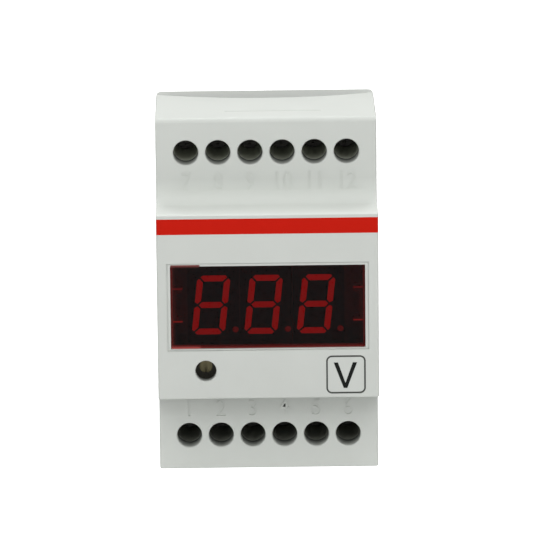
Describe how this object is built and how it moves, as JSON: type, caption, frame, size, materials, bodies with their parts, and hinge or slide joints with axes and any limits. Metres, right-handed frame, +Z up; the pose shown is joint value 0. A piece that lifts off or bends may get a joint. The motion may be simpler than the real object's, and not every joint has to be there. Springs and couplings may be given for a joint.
{
  "type": "digital voltmeter",
  "caption": "Modular digital voltmeter for a mounting rail: stepped grey housing with a red display window, screw terminals above and below, and a spring catch for the rail.",
  "frame": {"origin": "middle of the seat that the mounting rail's face rests on", "axes": "+X along the rail, to the right seen from the front; the front looks along -Y; +Z up"},
  "size_m": [0.0524, 0.063, 0.086],
  "materials": {
    "housing_grey": "fine matt moulding grain",
    "filter_red": "polished, dark red, see-through in the real part",
    "stripe_red": "satin printed foil",
    "module_black": "matt",
    "segment_red": "cast resin, unlit",
    "trimmer_cream": "matt",
    "rotor_brass": "dulled",
    "board_green": "solder resist on glass laminate",
    "screw_steel": "zinc plated",
    "terminal_black": "glass-filled moulding",
    "contact_tinned": "tinned",
    "cage_steel": "zinc plated",
    "clip_grey": "matt",
    "spring_steel": "drawn wire",
    "core_iron": "laminated sheet, lacquered",
    "bobbin_white": "matt",
    "winding_copper": "enamelled wire",
    "can_sleeve": "shrink sleeve",
    "component_black": "moulded",
    "comb_black": "moulded strip with tinned pins"
  },
  "bodies": {
    "housing": {"front_cover": "housing_grey", "base_housing": "housing_grey", "display_filter": "filter_red", "red_stripe": "stripe_red", "digit_left": "module_black", "digit_middle": "module_black", "digit_right": "module_black", "segments_left": "segment_red", "segments_middle": "segment_red", "segments_right": "segment_red", "trimmer_body": "trimmer_cream", "display_board": "board_green", "main_board": "board_green", "board_screws": "screw_steel", "upper_terminal_block": "terminal_black", "lower_terminal_block": "terminal_black", "upper_contacts": "contact_tinned", "lower_contacts": "contact_tinned", "clip_spring": "spring_steel", "transformer_core": "core_iron", "transformer_bobbin": "bobbin_white", "transformer_winding": "winding_copper", "supply_capacitor": "can_sleeve", "filter_capacitor": "can_sleeve", "bridge_rectifier": "component_black", "converter_chip": "component_black", "link_comb": "comb_black"},
    "rail_catch": {"rail_clip": "clip_grey"},
    "trimmer": {"trimmer_rotor": "rotor_brass"},
    "screw_1": {"terminal_screw_1": "screw_steel"},
    "cage_1": {"cage_clamp_1": "cage_steel"},
    "screw_2": {"terminal_screw_2": "screw_steel"},
    "cage_2": {"cage_clamp_2": "cage_steel"},
    "screw_3": {"terminal_screw_3": "screw_steel"},
    "cage_3": {"cage_clamp_3": "cage_steel"},
    "screw_4": {"terminal_screw_4": "screw_steel"},
    "cage_4": {"cage_clamp_4": "cage_steel"},
    "screw_5": {"terminal_screw_5": "screw_steel"},
    "cage_5": {"cage_clamp_5": "cage_steel"},
    "screw_6": {"terminal_screw_6": "screw_steel"},
    "cage_6": {"cage_clamp_6": "cage_steel"},
    "screw_7": {"terminal_screw_7": "screw_steel"},
    "cage_7": {"cage_clamp_7": "cage_steel"},
    "screw_8": {"terminal_screw_8": "screw_steel"},
    "cage_8": {"cage_clamp_8": "cage_steel"},
    "screw_9": {"terminal_screw_9": "screw_steel"},
    "cage_9": {"cage_clamp_9": "cage_steel"},
    "screw_10": {"terminal_screw_10": "screw_steel"},
    "cage_10": {"cage_clamp_10": "cage_steel"},
    "screw_11": {"terminal_screw_11": "screw_steel"},
    "cage_11": {"cage_clamp_11": "cage_steel"},
    "screw_12": {"terminal_screw_12": "screw_steel"},
    "cage_12": {"cage_clamp_12": "cage_steel"}
  },
  "joints": [
    {"name": "screw_turn_1", "type": "hinge", "parent": "housing", "child": "screw_1", "pos_m": [-0.01905, -0.0267, -0.03475], "axis": [0, 1, 0], "range_deg": [0, 1800]},
    {"name": "cage_lift_1", "type": "slide", "parent": "housing", "child": "cage_1", "axis": [0, -1, 0], "range_m": [0, 0.0025]},
    {"name": "screw_turn_2", "type": "hinge", "parent": "housing", "child": "screw_2", "pos_m": [-0.01143, -0.0267, -0.03475], "axis": [0, 1, 0], "range_deg": [0, 1800]},
    {"name": "cage_lift_2", "type": "slide", "parent": "housing", "child": "cage_2", "axis": [0, -1, 0], "range_m": [0, 0.0025]},
    {"name": "screw_turn_3", "type": "hinge", "parent": "housing", "child": "screw_3", "pos_m": [-0.00381, -0.0267, -0.03475], "axis": [0, 1, 0], "range_deg": [0, 1800]},
    {"name": "cage_lift_3", "type": "slide", "parent": "housing", "child": "cage_3", "axis": [0, -1, 0], "range_m": [0, 0.0025]},
    {"name": "screw_turn_4", "type": "hinge", "parent": "housing", "child": "screw_4", "pos_m": [0.00381, -0.0267, -0.03475], "axis": [0, 1, 0], "range_deg": [0, 1800]},
    {"name": "cage_lift_4", "type": "slide", "parent": "housing", "child": "cage_4", "axis": [0, -1, 0], "range_m": [0, 0.0025]},
    {"name": "screw_turn_5", "type": "hinge", "parent": "housing", "child": "screw_5", "pos_m": [0.01143, -0.0267, -0.03475], "axis": [0, 1, 0], "range_deg": [0, 1800]},
    {"name": "cage_lift_5", "type": "slide", "parent": "housing", "child": "cage_5", "axis": [0, -1, 0], "range_m": [0, 0.0025]},
    {"name": "screw_turn_6", "type": "hinge", "parent": "housing", "child": "screw_6", "pos_m": [0.01905, -0.0267, -0.03475], "axis": [0, 1, 0], "range_deg": [0, 1800]},
    {"name": "cage_lift_6", "type": "slide", "parent": "housing", "child": "cage_6", "axis": [0, -1, 0], "range_m": [0, 0.0025]},
    {"name": "screw_turn_7", "type": "hinge", "parent": "housing", "child": "screw_7", "pos_m": [-0.01905, -0.0267, 0.03475], "axis": [0, 1, 0], "range_deg": [0, 1800]},
    {"name": "cage_lift_7", "type": "slide", "parent": "housing", "child": "cage_7", "axis": [0, -1, 0], "range_m": [0, 0.0025]},
    {"name": "screw_turn_8", "type": "hinge", "parent": "housing", "child": "screw_8", "pos_m": [-0.01143, -0.0267, 0.03475], "axis": [0, 1, 0], "range_deg": [0, 1800]},
    {"name": "cage_lift_8", "type": "slide", "parent": "housing", "child": "cage_8", "axis": [0, -1, 0], "range_m": [0, 0.0025]},
    {"name": "screw_turn_9", "type": "hinge", "parent": "housing", "child": "screw_9", "pos_m": [-0.00381, -0.0267, 0.03475], "axis": [0, 1, 0], "range_deg": [0, 1800]},
    {"name": "cage_lift_9", "type": "slide", "parent": "housing", "child": "cage_9", "axis": [0, -1, 0], "range_m": [0, 0.0025]},
    {"name": "screw_turn_10", "type": "hinge", "parent": "housing", "child": "screw_10", "pos_m": [0.00381, -0.0267, 0.03475], "axis": [0, 1, 0], "range_deg": [0, 1800]},
    {"name": "cage_lift_10", "type": "slide", "parent": "housing", "child": "cage_10", "axis": [0, -1, 0], "range_m": [0, 0.0025]},
    {"name": "screw_turn_11", "type": "hinge", "parent": "housing", "child": "screw_11", "pos_m": [0.01143, -0.0267, 0.03475], "axis": [0, 1, 0], "range_deg": [0, 1800]},
    {"name": "cage_lift_11", "type": "slide", "parent": "housing", "child": "cage_11", "axis": [0, -1, 0], "range_m": [0, 0.0025]},
    {"name": "screw_turn_12", "type": "hinge", "parent": "housing", "child": "screw_12", "pos_m": [0.01905, -0.0267, 0.03475], "axis": [0, 1, 0], "range_deg": [0, 1800]},
    {"name": "cage_lift_12", "type": "slide", "parent": "housing", "child": "cage_12", "axis": [0, -1, 0], "range_m": [0, 0.0025]},
    {"name": "trimmer_turn", "type": "hinge", "parent": "housing", "child": "trimmer", "pos_m": [-0.01486, -0.051, -0.0156], "axis": [0, 1, 0], "range_deg": [-135, 135]},
    {"name": "clip_pull", "type": "slide", "parent": "housing", "child": "rail_catch", "axis": [0, 0, -1], "range_m": [0, 0.004], "stiffness_N_per_m": 1500, "deforming": ["clip_spring"]}
  ],
  "couplings": [
    {"joint": "screw_turn_1", "follows": "cage_lift_1", "rad_per_m": 12566},
    {"joint": "screw_turn_2", "follows": "cage_lift_2", "rad_per_m": 12566},
    {"joint": "screw_turn_3", "follows": "cage_lift_3", "rad_per_m": 12566},
    {"joint": "screw_turn_4", "follows": "cage_lift_4", "rad_per_m": 12566},
    {"joint": "screw_turn_5", "follows": "cage_lift_5", "rad_per_m": 12566},
    {"joint": "screw_turn_6", "follows": "cage_lift_6", "rad_per_m": 12566},
    {"joint": "screw_turn_7", "follows": "cage_lift_7", "rad_per_m": 12566},
    {"joint": "screw_turn_8", "follows": "cage_lift_8", "rad_per_m": 12566},
    {"joint": "screw_turn_9", "follows": "cage_lift_9", "rad_per_m": 12566},
    {"joint": "screw_turn_10", "follows": "cage_lift_10", "rad_per_m": 12566},
    {"joint": "screw_turn_11", "follows": "cage_lift_11", "rad_per_m": 12566},
    {"joint": "screw_turn_12", "follows": "cage_lift_12", "rad_per_m": 12566}
  ]
}
